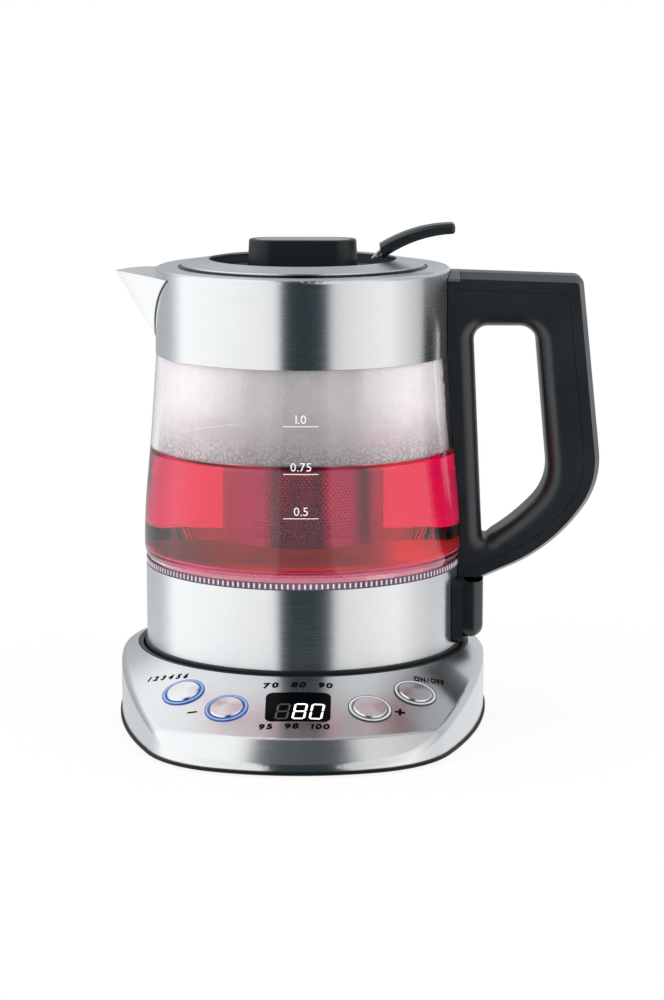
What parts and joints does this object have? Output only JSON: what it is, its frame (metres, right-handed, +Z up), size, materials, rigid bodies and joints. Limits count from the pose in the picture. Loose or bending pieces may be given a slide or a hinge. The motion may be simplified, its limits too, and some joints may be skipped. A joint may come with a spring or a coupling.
{
  "type": "automatic tea maker",
  "caption": "Cordless glass kettle with a removable tea infuser, standing on a sloping power base with push buttons and a number display.",
  "frame": {"origin": "on the kettle's axis, at the floor under the base's rubber foot", "axes": "+Z up, -Y towards the controls, +X towards the handle, -X towards the spout"},
  "size_m": [0.2149, 0.2105, 0.2179],
  "materials": {
    "base_bottom": "moulded black",
    "base_connector": "moulded black",
    "base_dish": "moulded black",
    "base_screws": "zinc plated",
    "base_shell": "brushed, sideways grain",
    "button_minus": "spun, polished edge",
    "button_plus": "spun, polished edge",
    "button_power": "spun, polished edge",
    "button_program": "spun, polished edge",
    "buzzer": "moulded",
    "capacitors": "sleeved",
    "collar": "brushed, sideways grain",
    "collar_liner": "moulded black",
    "connector_contacts": "stamped",
    "connector_guard": "moulded",
    "control_board": "solder mask",
    "cord_grommet": "matt",
    "display_module": "moulded",
    "display_window": "polished black",
    "foot_ring": "matt",
    "glass_body": "clear",
    "glass_seal": "silicone",
    "handle_body": "satin black",
    "handle_cover": "satin black",
    "handle_foot": "satin black",
    "handle_top_block": "satin dark grey",
    "heat_spreader": "plain",
    "heater_plate": "brushed",
    "heating_element": "plain",
    "infuser_basket": "perforated",
    "infuser_cover": "satin black",
    "infuser_lever": "satin black",
    "infuser_rim": "moulded black",
    "infuser_strap": "polished",
    "kettle_bottom": "moulded black",
    "kettle_connector": "moulded black",
    "kettle_pins": "turned",
    "kettle_screws": "zinc plated",
    "knob": "satin black",
    "knob_cap": "satin grey",
    "knob_screws": "zinc plated",
    "led_board": "white board",
    "lid_carrier": "moulded black",
    "lid_ring": "brushed",
    "lid_seal": "silicone",
    "light_ring": "clear, ribbed",
    "lower_band": "brushed, sideways grain",
    "lower_housing": "moulded black",
    "panel_frame": "moulded",
    "power_board": "solder mask",
    "relay": "moulded",
    "ribbon_cable": "flat cable",
    "ring_lenses_left": "clear, lit blue",
    "ring_lenses_right": "clear",
    "spout": "brushed",
    "tact_switches": "moulded",
    "temperature_sensor": "plain",
    "thermal_cutouts": "phenolic",
    "transformer": "wound",
    "upper_seal": "silicone"
  },
  "bodies": {
    "base": {"base_shell": "base_shell", "base_bottom": "base_bottom", "foot_ring": "foot_ring", "base_dish": "base_dish", "base_connector": "base_connector", "connector_contacts": "connector_contacts", "display_window": "display_window", "display_module": "display_module", "panel_frame": "panel_frame", "control_board": "control_board", "tact_switches": "tact_switches", "ring_lenses_left": "ring_lenses_left", "ring_lenses_right": "ring_lenses_right", "power_board": "power_board", "relay": "relay", "transformer": "transformer", "capacitors": "capacitors", "buzzer": "buzzer", "ribbon_cable": "ribbon_cable", "cord_grommet": "cord_grommet", "base_screws": "base_screws"},
    "guard": {"connector_guard": "connector_guard"},
    "program_button": {"button_program": "button_program"},
    "minus_button": {"button_minus": "button_minus"},
    "plus_button": {"button_plus": "button_plus"},
    "power_button": {"button_power": "button_power"},
    "kettle": {"glass_body": "glass_body", "upper_seal": "upper_seal", "collar": "collar", "collar_liner": "collar_liner", "spout": "spout", "light_ring": "light_ring", "glass_seal": "glass_seal", "heater_plate": "heater_plate", "heat_spreader": "heat_spreader", "heating_element": "heating_element", "temperature_sensor": "temperature_sensor", "thermal_cutouts": "thermal_cutouts", "led_board": "led_board", "lower_band": "lower_band", "lower_housing": "lower_housing", "kettle_bottom": "kettle_bottom", "kettle_connector": "kettle_connector", "kettle_pins": "kettle_pins", "handle_body": "handle_body", "handle_cover": "handle_cover", "handle_foot": "handle_foot", "handle_top_block": "handle_top_block", "kettle_screws": "kettle_screws"},
    "lid": {"lid_ring": "lid_ring", "lid_carrier": "lid_carrier", "lid_seal": "lid_seal"},
    "infuser": {"infuser_rim": "infuser_rim", "infuser_basket": "infuser_basket", "infuser_strap": "infuser_strap", "infuser_lever": "infuser_lever"},
    "infuser_cover": {"infuser_cover": "infuser_cover", "knob": "knob", "knob_cap": "knob_cap", "knob_screws": "knob_screws"}
  },
  "joints": [
    {"name": "kettle_turn", "type": "hinge", "parent": "base", "child": "guard", "pos_m": [0, 0, 0], "axis": [0, 0, 1], "continuous": true},
    {"name": "kettle_lift", "type": "slide", "parent": "guard", "child": "kettle", "axis": [0, 0, 1], "range_m": [0, 0.06]},
    {"name": "lid_lift", "type": "slide", "parent": "kettle", "child": "lid", "axis": [0, 0, 1], "range_m": [0, 0.06]},
    {"name": "infuser_lift", "type": "slide", "parent": "lid", "child": "infuser", "axis": [0, 0, 1], "range_m": [0, 0.13]},
    {"name": "infuser_cover_lift", "type": "slide", "parent": "infuser", "child": "infuser_cover", "axis": [0, 0, 1], "range_m": [0, 0.03]},
    {"name": "program_press", "type": "slide", "parent": "base", "child": "program_button", "axis": [0.2046, 0.3138, -0.9272], "range_m": [0, 0.0006], "stiffness_N_per_m": 800, "springref_m": -0.001},
    {"name": "minus_press", "type": "slide", "parent": "base", "child": "minus_button", "axis": [0.1164, 0.3561, -0.9272], "range_m": [0, 0.0006], "stiffness_N_per_m": 800, "springref_m": -0.001},
    {"name": "plus_press", "type": "slide", "parent": "base", "child": "plus_button", "axis": [-0.1164, 0.3561, -0.9272], "range_m": [0, 0.0006], "stiffness_N_per_m": 800, "springref_m": -0.001},
    {"name": "power_press", "type": "slide", "parent": "base", "child": "power_button", "axis": [-0.2046, 0.3138, -0.9272], "range_m": [0, 0.0006], "stiffness_N_per_m": 800, "springref_m": -0.001}
  ]
}
